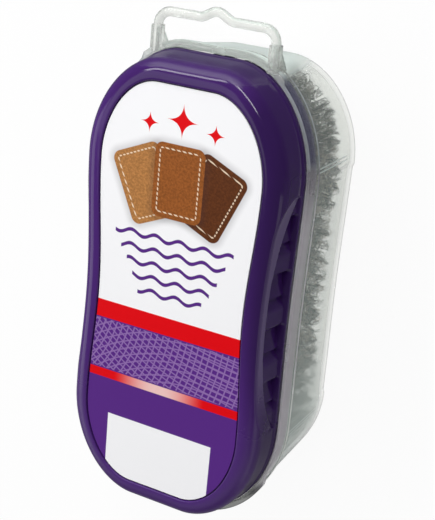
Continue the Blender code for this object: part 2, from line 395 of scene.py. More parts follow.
def clearPlastic(name, look):
    both = plasticLook
    finish = Finish(name, {"Base Color": tint(look["color"]), "IOR": look["bend"],
                           "Transmission Weight": look["see"], "Coat Roughness": both["coatRough"]})
    spot = finish.place()
    haze = finish.noise(spot, look["haze"], 3)
    x, y, z = finish.split(spot)

    def zone(value, key):
        return finish.limits(value, *plasticZones[key])

    skirt = finish.limits(z, look["skirtFoot"] - both["skirtFade"], look["skirtFoot"] + both["skirtFade"])
    ends = zone(abs(y), "end")
    body = look["body"] + ends * look["endBody"] + skirt * look["skirtBody"]
    finish.feed("Alpha", body.under(both["mostBody"]))
    finish.feed("Coat Weight", look["coat"] * zone(z, "coat") * (1 - both["skirtCoat"] * skirt))
    finish.feed("Roughness", look["roughness"] + skirt * look["skirtRough"]
                + both["hazeRough"] * zone(haze, "haze"))

    # a milky veil lies over the loop's end, over the skirt with its bead and lobes, and more thinly over
    # the wall; the same veil paints pale highlight lines at the creases and along the bead's far half, and
    # painted shade over the far end of the rim
    waist = skirt * zone(y, "waistLoop") * zone(y, "waistFar")
    bead = waist * zone(z, "bead")
    farHalf = zone(y, "farHalf")
    lobe = skirt * (1 - waist) * zone(y, "lobeTip") * zone(y, "lobeRoot")
    # painted highlights: two pale lines along each crease
    creaseHighlight = zone(abs(abs(abs(y) - both["creaseAt"]) - both["creaseApart"]), "creaseEdge")
    creaseHighlight = creaseHighlight * zone(z, "creaseTop") * zone(abs(x), "creaseSide") * zone(z, "creaseFoot")
    # painted shade: the rim's top darkens towards the far end, for the shade there and the dark plug behind
    # it
    farRimShade = zone(z, "rimTop") * zone(y, "rimFar")
    wall = (zone(y, "wallLoop") + zone(y, "wallFar")) * (1 - skirt) * zone(y, "wallEnd")
    veil = look["veil"] + look["farVeil"] * wall * zone(z, "wallFoot")
    for share in (ends * zone(y, "loopEnd") * look["endVeil"],
                  waist * look["skirtVeil"] * (1 + both["farSkirt"] * farHalf),
                  lobe * look["lobeVeil"], creaseHighlight * look["creaseHighlight"], farRimShade * look["farRimShadeShare"],
                  bead * look["beadVeil"], bead * farHalf * look["farBeadHighlight"]):
        veil = veil + share * (1 - veil)
    lilac = finish.mix(zone(y, "lilac"), tint(both["lilac"]), tint(both["paleLilac"]))
    color = finish.mix(waist, tint(look["veilColor"]), lilac)
    # painted highlight: a pale line along the bead over the far half
    color = finish.mix(bead * farHalf, color, tint(look["veilColor"]))
    color = finish.mix(lobe, color, tint(look["lobeColor"]))
    # painted shade colour over the far end of the rim
    color = finish.mix(farRimShade, color, tint(look["farRimShadeColor"]))
    milk = finish.node("BsdfPrincipled", {}, {"Base Color": color, "Roughness": both["milkRough"],
                                              "IOR": both["milkBend"],
                                              "Specular IOR Level": both["milkShine"]})
    finish.show(finish.cover(veil, finish.own, milk))
    return finish.material


# zones start and are full at the two numbers, with the values there after them if not 0 and 1
purpleLook = {
    "color": "#331853",
    "deep": "#2c134a",
    "cloud": 18.0,
    "shine": 0.35,
    "roughness": 0.1,
    "farRough": 0.2,
    "farAlong": (-14.0, -34.0),
    "scuff": 0.06,
    "scuffSize": 2.2,
    "scuffRange": (0.45, 0.75),
    "satin": 0.22,
    "satinAlong": (53.5, 54.3),
    "satinUp": (41.8, 41.6),
    "gripSheen": "#83769a",
    "gripSheenShare": 0.4,
    "gripSheenRough": 0.2,
    "gripSheenTop": (-0.2, 1.1),
    "gripSheenFoot": (-0.15, 0.15),
    "gripSheenAlong": (-27.0, -12.0),
    "litBorder": "#482470",
    "litBorderUp": (36.0, 41.0),
    "litBorderLeft": (20.0, 12.0),
    "litBorderRight": (26.0, 19.0),
    "litBorderRightAlong": (30.0, -30.0),
    "litBorderLean": 4.0,
    "litBorderLeanAlong": (-5.0, -35.0),
    "litBorderLoop": (35.0, 55.0, 1.0, 0.45),
    "ripple": 6.0,
    "rippleDepth": 0.02,
}


def purplePlastic(name, look):
    finish = Finish(name, {"IOR": 1.5, "Specular IOR Level": look["shine"]})
    spot = finish.place()
    x, y, z = finish.split(spot)

    def zone(value, key):
        return finish.limits(value, *look[key])

    # the facet over the finger grips gets a painted pale sheen in place of the reflection along the scoop,
    # and is duller
    crest, fold = gripLines((abs(y) / grips["half"]).under(1))
    gripSheen = zone(crest - z, "gripSheenTop") * zone(z - fold, "gripSheenFoot") * zone(y, "gripSheenAlong")
    color = finish.mix(finish.noise(spot, look["cloud"], 3), tint(look["color"]), tint(look["deep"]))
    # painted light: the border is a lighter purple where light falls on it, but not on the shaded right
    # shoulder
    right = zone(x - look["litBorderLean"] * zone(y, "litBorderLeanAlong"), "litBorderRight")
    litBorder = (right * zone(y, "litBorderRightAlong")).over(zone(x, "litBorderLeft")) * zone(y, "litBorderLoop")
    color = finish.mix(litBorder * zone(z, "litBorderUp"), color, tint(look["litBorder"]))
    # painted sheen: a paler purple over the grip facet, standing in for a reflection
    finish.feed("Base Color", finish.mix(gripSheen * look["gripSheenShare"], color, tint(look["gripSheen"])))
    # the end wall under the loop is satin
    satin = zone(y, "satinAlong") * zone(z, "satinUp")
    scuff = finish.noise(spot, look["scuffSize"], 5, 0.7)
    finish.feed("Roughness", look["roughness"] + look["gripSheenRough"] * gripSheen
                + look["farRough"] * zone(y, "farAlong") + look["satin"] * satin
                + look["scuff"] * zone(scuff, "scuffRange"))
    finish.bump(finish.noise(spot, look["ripple"], 2), look["rippleDepth"])
    return finish.material


labelLook = {
    "white": "#fbfbfd",
    "purple": "#582a84",
    "net": "#9f7cba",
    "netShare": 0.8,
    "netMargin": 0.3,
    "red": "#e3020f",
    "pale": "#f3c9c4",
    "paleAt": -1.0,
    "paleRange": (13.0, 1.0),
    "bandTop": -4.6,
    "bandBottom": -9.2,
    "netBottom": -22.9,
    "stripeBottom": -25.2,
    "panelHalf": 14.8,
    "panelTop": -34.6,
    "edge": 0.09,
    "ripple": 9.0,
    "rippleDepth": 0.01,
}
# centre, rings in a millimetre and half a line's share of a ring
netArcs = [(-46.0, -2.0, 0.62, 0.10), (22.0, 36.0, 0.72, 0.11), (8.0, -58.0, 0.55, 0.08)]
swatches = [
    {"x": 8.6, "y": 27.2, "turn": -24, "color": "#6b3a1c"},
    {"x": -8.6, "y": 27.2, "turn": 24, "color": "#c98b4f"},
    {"x": 0.0, "y": 29.0, "turn": 0, "color": "#a9622c"},
]
swatchLook = {
    "halfX": 6.6,
    "halfY": 9.0,
    "corner": 2.0,
    "nap": 0.55,
    "napRange": (0.3, 0.75),
    "napColor": "#1c0e08",
    "napShare": 0.45,
    "shadow": (2.2, -0.2),
    "shadowColor": "#3a2c30",
    "shadowShare": 0.28,
    "thread": "#f0dcc0",
    "seam": 1.3,
    "seamHalf": 0.16,
    "stitch": 1.5,
    "stitchSlant": 1.3,
    "stitchHalf": 0.28,
}
sparkles = [(0.0, 43.6, 4.4), (-8.6, 42.0, 2.7), (8.6, 42.0, 2.7)]
waves = [(14.6, 16.0), (11.1, 14.2), (7.6, 12.4), (4.1, 10.6), (0.6, 8.8)]
waveLook = {"rise": 0.6, "turns": 0.95, "half": 0.46}


def labelPrint(name, look):
    finish = Finish(name, {"Roughness": 0.32, "Specular IOR Level": 0.12})
    spot = finish.place()
    x, y, z = finish.split(spot)

    def inside(distance):
        return finish.limits(distance, look["edge"], -look["edge"])

    def cardGap(card):
        # distance to a turned rounded rectangle, below 0 inside it
        dx, dy = x - card["x"], y - card["y"]
        c, s = cos(radians(card["turn"])), sin(radians(card["turn"]))
        across = abs(dx * c + dy * s) - (swatchLook["halfX"] - swatchLook["corner"])
        along = abs(dy * c - dx * s) - (swatchLook["halfY"] - swatchLook["corner"])
        out = (across.over(0) ** 2 + along.over(0) ** 2) ** 0.5
        return out + across.over(along).under(0) - swatchLook["corner"]

    # fields from the top down
    art = finish.mix(inside(y - look["bandTop"]), tint(look["white"]), tint(look["red"]))
    art = finish.mix(inside(y - look["bandBottom"]), art, tint(look["purple"]))

    # families of arcs cross as a net under the red band
    first, second, third = [
        inside(abs((((x - centreX) ** 2 + (y - centreY) ** 2) ** 0.5 * pitch).part() - 0.5) - half)
        for centreX, centreY, pitch, half in netArcs]
    field = (inside(y - look["bandBottom"] + look["netMargin"])
             * inside(look["netBottom"] + look["netMargin"] - y))
    art = finish.mix(first.over(second).over(third) * field * look["netShare"], art, tint(look["net"]))

    # red stripe that pales near its middle
    stripe = inside(y - look["netBottom"]) * inside(look["stripeBottom"] - y)
    fade = finish.limits(abs(x - look["paleAt"]), *look["paleRange"])
    art = finish.mix(stripe, art, finish.mix(fade, tint(look["red"]), tint(look["pale"])))

    # bare white panel
    panel = inside(abs(x) - look["panelHalf"]) * inside(y - look["panelTop"])
    art = finish.mix(panel, art, tint(look["white"]))

    # three suede swatches, each with a stitched edge
    nap = finish.limits(finish.noise(spot, swatchLook["nap"], 4, 0.7), *swatchLook["napRange"])
    stitch = ((x + y * swatchLook["stitchSlant"]) / swatchLook["stitch"]).part()
    dash = inside(abs(stitch - 0.5) - swatchLook["stitchHalf"])
    for card in swatches:
        gap = cardGap(card)
        shadow = finish.limits(gap, *swatchLook["shadow"]) * swatchLook["shadowShare"]
        art = finish.mix(shadow, art, tint(swatchLook["shadowColor"]))
        dark = finish.mix(swatchLook["napShare"], tint(card["color"]), tint(swatchLook["napColor"]))
        art = finish.mix(inside(gap), art, finish.mix(nap, dark, tint(card["color"])))
        seam = inside(abs(gap + swatchLook["seam"]) - swatchLook["seamHalf"])
        art = finish.mix(seam * dash, art, tint(swatchLook["thread"]))

    # red four-point sparkles over them
    for centreX, centreY, reach in sparkles:
        arms = abs(x - centreX) ** 0.5 + abs(y - centreY) ** 0.5
        art = finish.mix(inside((arms - reach ** 0.5) * reach), art, tint(look["red"]))

    # purple brush waves under them
    for height, half in waves:
        swing = waveLook["rise"] * (x * waveLook["turns"]).wave()
        line = abs(y - height - swing) - waveLook["half"]
        art = finish.mix(inside(line) * inside(abs(x) - half), art, tint(look["purple"]))

    finish.feed("Base Color", art)
    finish.bump(finish.noise(spot, look["ripple"], 2), look["rippleDepth"])
    return finish.material


foamLook = {
    "dark": "#2c2f2d",
    "pale": "#6a6f6a",
    "cell": 0.9,
    "cellRange": (0.1, 0.6),
    "depth": 0.35,
}


def foamSurface(name, look):
    finish = Finish(name, {"Roughness": 0.95})
    cells = finish.node("TexVoronoi", {"feature": "F1"}, {"Vector": finish.place(),
                                                          "Scale": 1 / look["cell"]})
    share = finish.limits(cells, *look["cellRange"])
    finish.feed("Base Color", finish.mix(share, tint(look["dark"]), tint(look["pale"])))
    finish.bump(cells, look["depth"])
    return finish.material


# each strand has a dark and a pale colour, and a darker one of painted shade for the end that faces the
# loop
fibreLook = {
    "dark": ("#0e201d", "#26403b", "#0b1c19"),
    "pale": ("#968c80", "#d0c2b2", "#5b574e"),
    "core": ("#354840", "#8ba398", "#1d302a"),
    "cloud": 5.0,
    "cloudShare": 0.35,
    "fleck": 0.7,
    "fleckShare": 0.65,
    "range": (0.4, 0.6),
    "loopEnd": (28.0, 42.0, 0.0, 0.9),
    "depth": 0.3,
}


def fibreSurface(name, colors, rough=0.6):
    look = fibreLook
    finish = Finish(name, {"Roughness": rough})
    spot = finish.place()
    cloud = finish.noise(spot, look["cloud"], 4, 0.6)
    fleck = finish.noise(spot, look["fleck"], 3, 0.6)
    share = finish.limits(cloud * look["cloudShare"] + fleck * look["fleckShare"], *look["range"])
    color = finish.mix(share, tint(colors[0]), tint(colors[1]))
    # painted shade: the strands darken towards the loop end
    shaded = finish.limits(finish.split(spot)[1], *look["loopEnd"])
    finish.feed("Base Color", finish.mix(shaded, color, tint(colors[2])))
    finish.bump(fleck, look["depth"])
    return finish.material


holder = {
    "sideDraft": 0.35,
    "waistDraft": 0.85,
    "endDraft": 1.05,
    "endLean": 0.7,
    "shoulderRadius": 4.1,
    "shoulderSteps": 24,
    "border": 0.75,
    "borderWaist": 0.35,
    "recessEdge": 0.22,
    "recessSteps": 3,
    "recessDepth": 0.9,
    "bandHeight": 0.85,
    "bandOut": 0.3,
    "bandEdge": 0.12,
    "bandSlope": 0.2,
    "wallRings": 30,
    "plugGap": 0.1,
    "plugWall": 2.45,
    "plugWaist": 1.3,
    "plugWaistWall": 0.6,
    "plugLower": 1.2,
    "plugEdge": 0.2,
    "notchHalf": 15.2,
    "notchGap": 0.05,
    "plate": 2.0,
}
grips = {
    "half": 29.6,
    "crestRise": 9.2,
    "foldRise": 7.4,
    "foldFade": 0.45,
    "facet": 0.3,
    "ribTop": 0.8,
    "ribFoot": 0.35,
    "pitch": 13.65,
    "firstEdge": 11.6,
    "edgeShare": 0.03,
    "pocketDepth": 1.6,
    "pocketEnds": 0.6,
    "pocketLong": 0.458,
    "pocketRise": 0.7,
    "pocketBow": 1.6,
    "ridgeLow": 0.3,
    "ridgeStep": 0.65,
    "leafLong": 0.25,
    "leafDrop": 0.95,
}

tray = {
    "lipShow": 0.95,
    "lipWidth": 0.75,
    "lipPale": 0.45,
    "wall": 1.2,
    "wallSteps": 5,
    "floor": 1.3,
    "skirt": 4.5,
    "beadHeight": 0.8,
    "beadOut": 0.35,
    "beadEdge": 0.12,
    "beadRound": 0.28,
    "beadFoot": 0.1,
    "beadTop": 0.08,
    "stepIn": 0.15,
    "sideDraft": 0.15,
    "endDraft": 2.5,
    "bottomRadius": 4.0,
    "bottomSteps": 8,
    "panelIn": 0.35,
    "flangeOut": 0.95,
    "flangeThick": 2.0,
    "flangeLoop": 18.5,
    "flangeFar": 24.4,
    "flangeFade": 0.9,
    "ringGap": 0.02,
    "edge": 0.3,
    "edgeSteps": 3,
    "ledgeTop": 0.17,
    "ledgeFoot": 0.2,
    "sharp": 40,
}
clearance = 0.3
rimHeight = trayHigh.z
seat = rimHeight + clearance
bandTop = seat + holder["bandHeight"]
skirtBottom = rimHeight - tray["skirt"]
beadBottom = skirtBottom - tray["beadHeight"]

rimOutline = Outline(holderHigh.x, holderHigh.y, 0.35)
wallOutline = rimOutline.grown(-holder["sideDraft"], -holder["endDraft"], holder["waistDraft"])
recessOutline = wallOutline.grown(-holder["shoulderRadius"] - holder["border"], waist=holder["borderWaist"])
lipOutline = rimOutline.grown(tray["lipShow"])
skirtInside = lipOutline.grown(-tray["lipWidth"])
plugOutline = skirtInside.grown(-holder["plugGap"], waist=holder["plugWaist"])
holderInside = plugOutline.grown(-holder["plugWall"], waist=holder["plugWaistWall"])


def gripLines(along):
    # how high the crest and the fold are at a share of the grips' half length, a number or a wire
    crest = bandTop + grips["crestRise"] * (1 - along ** 8) ** (1 / 3)
    fold = bandTop + grips["foldRise"] * (1 - along ** 4)
    return crest, fold


traySurface = clearPlastic("frosted_plastic", clearLook)
milkySurface = clearPlastic("milky_plastic", milkyLook)
holderSurface = purplePlastic("purple_plastic_gloss", purpleLook)
labelSurface = labelPrint("printed_film", labelLook)
foamFinish = foamSurface("open_cell_foam", foamLook)
print("materials made")


def shoulderInset(z):
    # how far in the rounded shoulder is at a height
    rise = max(z - holderHigh.z + holder["shoulderRadius"], 0)
    return holder["shoulderRadius"] - max(holder["shoulderRadius"] ** 2 - rise ** 2, 0) ** 0.5


def pocketShape(y):
    # going towards -Y: a sharp edge, a long pocket, a small ridge, a leaf that runs out on the rib
    turn = ((grips["firstEdge"] - y) / grips["pitch"]) % 1.0
    long, leaf, edge = grips["pocketLong"], grips["leafLong"], grips["edgeShare"]
    if turn < long:
        return smooth(turn / edge) * (1 - grips["pocketRise"] * (turn / long) ** grips["pocketBow"])
    if turn < long + leaf:
        ridge = grips["ridgeLow"] + grips["ridgeStep"] * smooth((turn - long) / edge)
        return ridge - grips["leafDrop"] * smooth((turn - long) / leaf)
    return 0.0


def gripDepth(y, z):
    # how far the side is pressed in at a height, for one place along the holder
    along = abs(y) / grips["half"]
    if along >= 1:
        return 0.0
    crest, fold = gripLines(along)
    if z >= crest:
        return 0.0
    # a flat facet under the crest, a step in at the fold, then ribs that lean out again
    down = min((crest - z) / max(crest - fold, 0.01), 1)
    inset = shoulderInset(crest) * (1 - down) + (grips["facet"] + shoulderInset(fold)) * down
    below = smooth((fold - z) / grips["foldFade"])
    lean = grips["ribTop"] + (grips["ribFoot"] - grips["ribTop"]) * (fold - z) / max(fold - bandTop, 0.5)
    pocket = grips["pocketDepth"] * (1 - grips["pocketEnds"] * along ** 4) * pocketShape(y)
    inset += below * (max(lean - inset, 0) + pocket)
    return max(inset - shoulderInset(z), 0.0)


def gripLevel(outline, z):
    def ring(station):
        spot = outline.point(station, z)
        if station[2] == "side":
            spot.x -= station[0] * gripDepth(spot.y, z)
        return spot
    return ring


def plugLevel(outline, z):
    # the plug ring is left out across both ends
    def ring(station):
        spot = outline.point(station, z)
        if abs(spot.x) < holder["notchHalf"] and station[2] != "side":
            spot.z = max(z, seat - holder["notchGap"])
        return spot
    return ring


def makeHolder():
    h = holder
    top = holderHigh.z
    recessFloor = top - h["recessDepth"]
    rings = [level(recessOutline, recessFloor), level(recessOutline, top - h["recessEdge"])]
    for step in range(1, h["recessSteps"] + 1):
        angle = pi / 2 * step / h["recessSteps"]
        rings.append(level(recessOutline.grown(h["recessEdge"] * (1 - cos(angle))),
                           top - h["recessEdge"] * (1 - sin(angle))))
    shoulder = roundEdge(wallOutline, h["shoulderRadius"], top, h["shoulderSteps"], False)
    gripStart = h["shoulderSteps"] // 3
    rings += shoulder[:gripStart]
    # the lower shoulder and the wall carry the grips
    for step in range(gripStart, h["shoulderSteps"]):
        angle = pi / 2 * step / h["shoulderSteps"]
        rings.append(gripLevel(wallOutline.grown(-h["shoulderRadius"] * (1 - sin(angle))),
                               top - h["shoulderRadius"] * (1 - cos(angle))))
    wallTop = top - h["shoulderRadius"]
    for step in range(h["wallRings"] + 1):
        share = step / h["wallRings"]
        outline = wallOutline.grown((h["sideDraft"] - h["bandOut"]) * share,
                                    h["endDraft"] * share * h["endLean"], -h["waistDraft"] * share)
        z = wallTop + (bandTop + h["bandOut"] - wallTop) * step / h["wallRings"]
        rings.append(gripLevel(outline, z))
    rings.append(level(rimOutline.grown(-h["bandEdge"]), bandTop))
    rings.append(level(rimOutline, bandTop - h["bandSlope"]))
    rings.append(level(rimOutline, seat + h["bandEdge"]))
    rings.append(level(rimOutline.grown(-h["bandEdge"]), seat))
    rings.append(level(plugOutline, seat))
    plugBottom = holderLow.z - h["plugLower"]
    rings.append(plugLevel(plugOutline, plugBottom + h["plugEdge"]))
    rings.append(plugLevel(plugOutline.grown(-h["plugEdge"]), plugBottom))
    rings.append(plugLevel(holderInside.grown(h["plugEdge"]), plugBottom))
    rings.append(plugLevel(holderInside, plugBottom + h["plugEdge"]))
    rings.append(level(holderInside, recessFloor - h["plate"]))
    piece = addPiece("holder_body", sweep(rings), holderSurface, 35)
    place(piece, "sponge_head", "holder_shell")


makeHolder()
print("holder made")

label = {"edge": 0.06}


def makeLabel():
    waist = rimOutline.waist + holder["waistDraft"] + holder["borderWaist"]
    outline = Outline(labelHigh.x, labelHigh.y, waist)
    top = labelHigh.z
    rings = [level(outline, labelLow.z), level(outline, top - label["edge"]),
             level(outline.grown(-label["edge"]), top)]
    piece = addPiece("label_film", sweep(rings), labelSurface, 30)
    place(piece, "sponge_head", "front_label")


makeLabel()
print("label made")


def flangeLevel(outline, z):
    # the lip stands further out at both ends
    def ring(station):
        spot = outline.point(station, z)
        limit = tray["flangeLoop"] if spot.y > 0 else tray["flangeFar"]
        if station[2] != "side":
            share = smooth((limit - abs(spot.x)) / tray["flangeFade"] + 0.5)
            across = max(abs(spot.x) - plan["endFlat"], 0)
            along = abs(spot.y) - plan["lobeStart"]
            reach = max(hypot(across, along), 0.001)
            spot.x += share * tray["flangeOut"] * across / reach * (1 if spot.x > 0 else -1)
            spot.y += share * tray["flangeOut"] * along / reach * (1 if spot.y > 0 else -1)
        return spot
    return ring


def makeTrayShell():
    t = tray
    edge = t["edge"]
    flangeBottom = rimHeight - t["flangeThick"]
    outer = lipOutline.grown(-t["stepIn"], panel=t["panelIn"])
    foot = outer.grown(-t["sideDraft"], -t["endDraft"])
    bead = lipOutline.grown(t["beadOut"])
    rings = roundEdge(foot, t["bottomRadius"], 0.0, t["bottomSteps"], True)
    for step in range(1, t["wallSteps"] + 1):
        share = step / t["wallSteps"]
        rings.append(level(foot.grown(t["sideDraft"] * share, t["endDraft"] * share),
                           t["bottomRadius"] + (beadBottom - t["bottomRadius"]) * share))
    rings.append(level(bead.grown(-t["beadEdge"]), beadBottom + t["beadFoot"]))
    rings.append(level(bead, beadBottom + t["beadRound"]))
    rings.append(level(bead, skirtBottom - t["beadRound"]))
    rings.append(level(bead.grown(-t["beadEdge"]), skirtBottom - t["beadTop"]))
    rings.append(level(lipOutline, skirtBottom))
    rings.append(level(lipOutline, flangeBottom))
    rings.append(flangeLevel(lipOutline.grown(-t["ringGap"] / 2), flangeBottom + t["ringGap"]))
    rings.append(flangeLevel(lipOutline, rimHeight - t["lipPale"]))
    for step in range(t["edgeSteps"] + 1):
        angle = pi / 2 * step / t["edgeSteps"]
        rings.append(flangeLevel(lipOutline.grown(-edge * (1 - cos(angle))),
                                 rimHeight - edge * (1 - sin(angle))))
    rings.append(level(skirtInside.grown(edge * 0.5), rimHeight))
    rings.append(level(skirtInside, rimHeight - edge * 0.5))
    # a small ledge under the plug ring's foot
    rings.append(level(skirtInside, beadBottom - t["ledgeTop"]))
    rings.append(level(outer.grown(-t["wall"]), beadBottom - t["ledgeFoot"]))
    inside = foot.grown(-t["wall"])
    rings += reversed(roundEdge(inside, t["bottomRadius"] - t["wall"], t["floor"], t["bottomSteps"], True))
    return sweep(rings)


loop = {
    "bar": 2.25,
    "barSides": 20,
    "halfWidth": 15.4,
    "reach": 7.0,
    "corner": 3.3,
    "cornerSteps": 10,
    "cornerRun": 1.5,
    "bumpHalf": 4.6,
    "bumpRise": 1.7,
    "bumpSteps": 16,
    "barRoot": 0.2,
    "postWidth": 2.5,
    "postReach": 2.5,
    "postProud": 0.05,
    "postEdge": 0.15,
    "webDrop": 4.6,
    "webThick": 1.4,
    "webShort": 0.4,
    "webTip": 1.0,
    "rootIn": 0.55,
}


def loopPath():
    high = lipOutline.halfLength + tray["flangeOut"] + loop["reach"] - loop["bar"] / 2
    cornerX = loop["halfWidth"] - loop["corner"]
    half = []
    for step in range(loop["bumpSteps"] + 1):
        x = loop["bumpHalf"] * step / loop["bumpSteps"]
        half.append((x, high + loop["bumpRise"] * 0.5 * (1 + cos(pi * x / loop["bumpHalf"]))))
    half.append((cornerX - loop["cornerRun"], high))
    for step in range(loop["cornerSteps"] + 1):
        angle = pi / 2 * (1 - step / loop["cornerSteps"])
        half.append((cornerX + loop["corner"] * cos(angle), high - loop["corner"] * (1 - sin(angle))))
    half.append((loop["halfWidth"], lipOutline.halfLength + loop["barRoot"]))
    z = rimHeight - loop["bar"] / 2
    return [Vector((-x, y, z)) for x, y in half[:0:-1]] + [Vector((x, y, z)) for x, y in half]


def barLevel(spot, across):
    return lambda angle: spot + across * cos(angle) + Vector((0, 0, loop["bar"] / 2 * sin(angle)))


def makeBar():
    # a circle is carried along the path, square to it
    path = loopPath()
    rings = []
    for i, spot in enumerate(path):
        ahead = (path[min(i + 1, len(path) - 1)] - path[max(i - 1, 0)]).normalized()
        rings.append(barLevel(spot, Vector((-ahead.y, ahead.x, 0)) * loop["bar"] / 2))
    sides = loop["barSides"]
    return sweep(rings, [2 * pi * i / sides for i in range(sides)])


def makeBlock(low, high, bevel):
    bm = bmesh.new()
    bmesh.ops.create_cube(bm, size=1)
    size = Vector(high) - Vector(low)
    bmesh.ops.scale(bm, verts=bm.verts, vec=size * mm)
    bmesh.ops.translate(bm, verts=bm.verts, vec=(Vector(low) + size / 2) * mm)
    if bevel:
        bmesh.ops.bevel(bm, geom=bm.edges, offset=bevel * mm, affect="EDGES", segments=2, profile=0.5,
                        material=-1)
    return bm


def postSpan():
    # where a post starts inside the lip, and where it ends under the bar
    root = lipOutline.grown(-loop["rootIn"]).endAt(loop["halfWidth"])
    return root, lipOutline.halfLength + tray["flangeOut"] + loop["postReach"]


def makePost(side):
    middle = side * loop["halfWidth"]
    half = loop["postWidth"] / 2
    root, tip = postSpan()
    return makeBlock((middle - half, root, rimHeight - loop["bar"] - loop["postProud"]),
                     (middle + half, tip, rimHeight + loop["postProud"]), loop["postEdge"])


def makeWeb(side):
    # a block whose far lower edge is pulled up to the post, which leaves three corners
    middle = side * loop["halfWidth"]
    half = loop["webThick"] / 2
    root, tip = postSpan()
    tip -= loop["webShort"]
    bottom = rimHeight - loop["bar"] - loop["webDrop"]
    top = rimHeight - loop["bar"] / 2
    bm = makeBlock((middle - half, root, bottom), (middle + half, tip, top), 0)
    for vert in bm.verts:
        if vert.co.z < (top + bottom) / 2 * mm and vert.co.y > (root + tip) / 2 * mm:
            vert.co.z = (top - loop["webTip"]) * mm
    return bm


def joinSolids(target, others):
    for other in others:
        union = target.modifiers.new("join", "BOOLEAN")
        union.operation = "UNION"
        union.solver = "EXACT"
        union.object = other
    mesh = bpy.data.meshes.new_from_object(target.evaluated_get(bpy.context.evaluated_depsgraph_get()))
    target.modifiers.clear()
    target.data = mesh
    for other in others:
        bpy.data.objects.remove(other)


milky = {
    "slack": 0.1,
    "beadSlack": 0.02,
    "loopSlack": 0.05,
    "sideEnd": 31.0,
    "postRoot": 0.6,
}


def isMilky(spot):
    # the top of the lip, the bead, the hanging loop and the feet of its posts
    slack = milky["slack"]
    across, along = abs(spot.x), abs(spot.y)
    if spot.z > rimHeight - tray["lipPale"]:
        return True
    if beadBottom - milky["beadSlack"] < spot.z < skirtBottom - slack:
        return along > plan["lobeStart"] or across > lipOutline.sideAt(min(along, milky["sideEnd"])) - slack
    if spot.y < plan["lobeStart"] or spot.z < beadBottom:
        return False
    return spot.y > lipOutline.halfLength + tray["flangeOut"] + milky["loopSlack"] or (
        abs(across - loop["halfWidth"]) < loop["postWidth"] / 2 + slack
        and spot.y > lipOutline.endAt(loop["halfWidth"]) - milky["postRoot"])


def makeTray():
    piece = addPiece("clear_tray", makeTrayShell(), traySurface)
    extras = [addPiece("bar", makeBar(), traySurface)]
    for side in (-1, 1):
        extras.append(addPiece("post", makePost(side), traySurface))
        extras.append(addPiece("web", makeWeb(side), traySurface))
    joinSolids(piece, extras)
    # thick sections look whiter than the walls
    piece.data.materials.append(milkySurface)
    for face in piece.data.polygons:
        face.material_index = 1 if isMilky(face.center / mm) else 0
    piece.data.shade_smooth()
    piece.data.set_sharp_from_angle(angle=radians(tray["sharp"]))
    place(piece, "tray", "cover_tray")


makeTray()
print("tray made")

foam = {"edge": 0.5, "edgeSteps": 3, "waist": 2.25}


def makeFoam():
    outline = Outline(foamHigh.x, foamHigh.y, foam["waist"])
    rings = roundEdge(outline, foam["edge"], foamLow.z, foam["edgeSteps"], True)
    rings += reversed(roundEdge(outline, foam["edge"], foamHigh.z, foam["edgeSteps"], False))
    piece = addPiece("foam_block", sweep(rings), foamFinish, 60)
    place(piece, "sponge_head", "foam_sponge")


makeFoam()
print("foam made")

pad = {
    "top": 25.3,
    "waist": 0.35,
    "coreIn": 2.0,
    "coreBottom": 6.0,
    "coreEdge": 5.0,
    "coreTopEdge": 1.0,
    "coreRing": 0.8,
    "lump": 0.9,
    "lumpSize": 2.4,
    "lumpRange": (-1, 0.9),
    "seed": 7,
    "wire": 0.26,
    "sideCurls": 2550,
    "paleCurls": 2000,
    "baseCurls": 2500,
    "points": 10,
    "step": 0.42,
    "bend": (0.08, 0.9),
    "bendDrift": 0.12,
    "dive": 0.3,
    "diveTurn": 0.6,
    "sideDepth": 2.8,
    "paleIn": 0.3,
    "crowd": 1.1,
    "baseDepth": 6.0,
    "baseSideIn": 0.6,
    "baseEndIn": 0.8,
}
padOutline = Outline(padHigh.x, padHigh.y, pad["waist"])


def makeCore():
    outline = padOutline.grown(-pad["coreIn"])
    low, high = padLow.z + pad["coreBottom"], padHigh.z
    rings = roundEdge(outline, pad["coreEdge"], low, 6, True)
    bottom = low + pad["coreEdge"]
    rise = high - pad["coreTopEdge"] - bottom
    count = ceil(rise / pad["coreRing"])
    for step in range(1, count):
        rings.append(level(outline, bottom + rise * step / count))
    rings += reversed(roundEdge(outline, pad["coreTopEdge"], high, 3, False))
    bm = sweep(rings)
    deepest, proudest = pad["lumpRange"]
    for vert in bm.verts:
        lump = noise.fractal(vert.co / mm / pad["lumpSize"], 0.6, 2.0, 3)
        vert.co += vert.normal * min(max(lump, deepest), proudest) * pad["lump"] * mm
    piece = addPiece("fibre_core", bm, fibreSurface("matted_fibre", fibreLook["core"], 0.9), 60)
    place(piece, "sponge_head", "fibre_pad")


class Track:
    # the pad's outline as a road: a distance along it gives a point and its outward direction
    def __init__(self, outline):
        self.points = [outline.point(s, 0) for s in stations]
        self.marks = [0.0]
        for a, b in zip(self.points, self.points[1:] + self.points[:1]):
            self.marks.append(self.marks[-1] + (b - a).length)
        self.length = self.marks[-1]

    def at(self, distance):
        distance %= self.length
        low, high = 0, len(self.points)
        while high - low > 1:
            middle = (low + high) // 2
            if self.marks[middle] <= distance:
                low = middle
            else:
                high = middle
        start, end = self.points[low], self.points[(low + 1) % len(self.points)]
        ahead = (end - start).normalized()
        return start + ahead * (distance - self.marks[low]), Vector((-ahead.y, ahead.x, 0))


